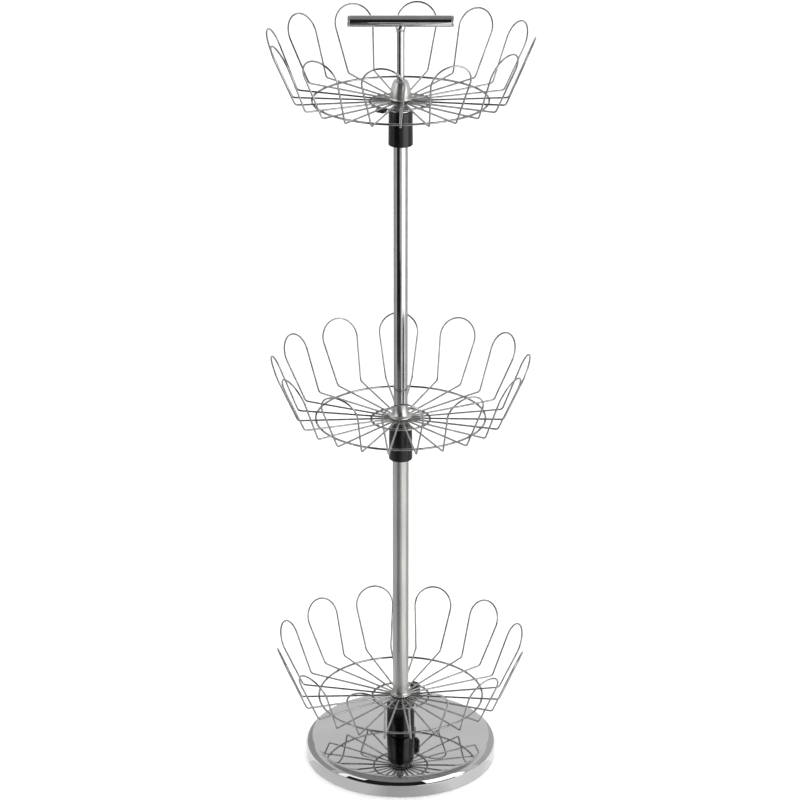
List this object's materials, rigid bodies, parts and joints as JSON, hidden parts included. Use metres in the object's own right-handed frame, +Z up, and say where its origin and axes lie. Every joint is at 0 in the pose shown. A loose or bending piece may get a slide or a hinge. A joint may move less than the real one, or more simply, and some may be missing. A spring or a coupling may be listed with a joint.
{
  "type": "rotating display rack",
  "caption": "Free-standing shop display rack: weighted round chrome base, slim pole, crowns of bent wire loops that spin, and a T handle on top.",
  "frame": {"origin": "on the floor, at the centre of the base's rubber pad, on the poles' axis", "axes": "+Z up along the poles, +X along the handle to its right end, front faces -Y"},
  "size_m": [0.3472, 0.3472, 1.0588],
  "materials": {
    "base_chrome": "mirror-polished chrome plate on the pressed base cover",
    "pole_satin": "satin plated tube",
    "pole_chrome": "bright chrome-plated tube and collar",
    "handle_chrome": "bright chrome-plated handle and rod",
    "wire_steel": "bright nickel or chrome-plated round wire",
    "hub_steel": "dull grey steel, lightly oiled",
    "sleeve_black": "smooth black moulded plastic with a soft sheen",
    "weight_iron": "rough cast, unpainted",
    "pad_rubber": "matt black sheet rubber"
  },
  "bodies": {
    "stand": {"base_cover": "base_chrome", "base_weight": "weight_iron", "base_pad": "pad_rubber", "base_bolt": "hub_steel", "lower_sleeve": "sleeve_black", "lower_pole": "pole_satin", "middle_sleeve": "sleeve_black", "upper_pole": "pole_chrome", "upper_sleeve": "sleeve_black", "top_collar": "pole_chrome", "handle_rod": "handle_chrome", "handle_ferrule": "handle_chrome", "handle_grip": "handle_chrome", "handle_cap_right": "handle_chrome", "handle_cap_left": "handle_chrome"},
    "lower_tier": {"lower_hub": "hub_steel", "lower_inner_ring": "wire_steel", "lower_outer_ring": "wire_steel", "lower_loop_01": "wire_steel", "lower_loop_02": "wire_steel", "lower_loop_03": "wire_steel", "lower_loop_04": "wire_steel", "lower_loop_05": "wire_steel", "lower_loop_06": "wire_steel", "lower_loop_07": "wire_steel", "lower_loop_08": "wire_steel", "lower_loop_09": "wire_steel", "lower_loop_10": "wire_steel", "lower_loop_11": "wire_steel", "lower_loop_12": "wire_steel"},
    "middle_tier": {"middle_hub": "hub_steel", "middle_inner_ring": "wire_steel", "middle_outer_ring": "wire_steel", "middle_loop_01": "wire_steel", "middle_loop_02": "wire_steel", "middle_loop_03": "wire_steel", "middle_loop_04": "wire_steel", "middle_loop_05": "wire_steel", "middle_loop_06": "wire_steel", "middle_loop_07": "wire_steel", "middle_loop_08": "wire_steel", "middle_loop_09": "wire_steel", "middle_loop_10": "wire_steel", "middle_loop_11": "wire_steel", "middle_loop_12": "wire_steel"},
    "upper_tier": {"upper_hub": "hub_steel", "upper_inner_ring": "wire_steel", "upper_outer_ring": "wire_steel", "upper_loop_01": "wire_steel", "upper_loop_02": "wire_steel", "upper_loop_03": "wire_steel", "upper_loop_04": "wire_steel", "upper_loop_05": "wire_steel", "upper_loop_06": "wire_steel", "upper_loop_07": "wire_steel", "upper_loop_08": "wire_steel", "upper_loop_09": "wire_steel", "upper_loop_10": "wire_steel", "upper_loop_11": "wire_steel", "upper_loop_12": "wire_steel"}
  },
  "joints": [
    {"name": "lower_tier_spin", "type": "hinge", "parent": "stand", "child": "lower_tier", "pos_m": [0, 0, 0.093], "axis": [0, 0, 1], "continuous": true},
    {"name": "middle_tier_spin", "type": "hinge", "parent": "stand", "child": "middle_tier", "pos_m": [0, 0, 0.511], "axis": [0, 0, 1], "continuous": true},
    {"name": "upper_tier_spin", "type": "hinge", "parent": "stand", "child": "upper_tier", "pos_m": [0, 0, 0.951], "axis": [0, 0, 1], "continuous": true}
  ]
}
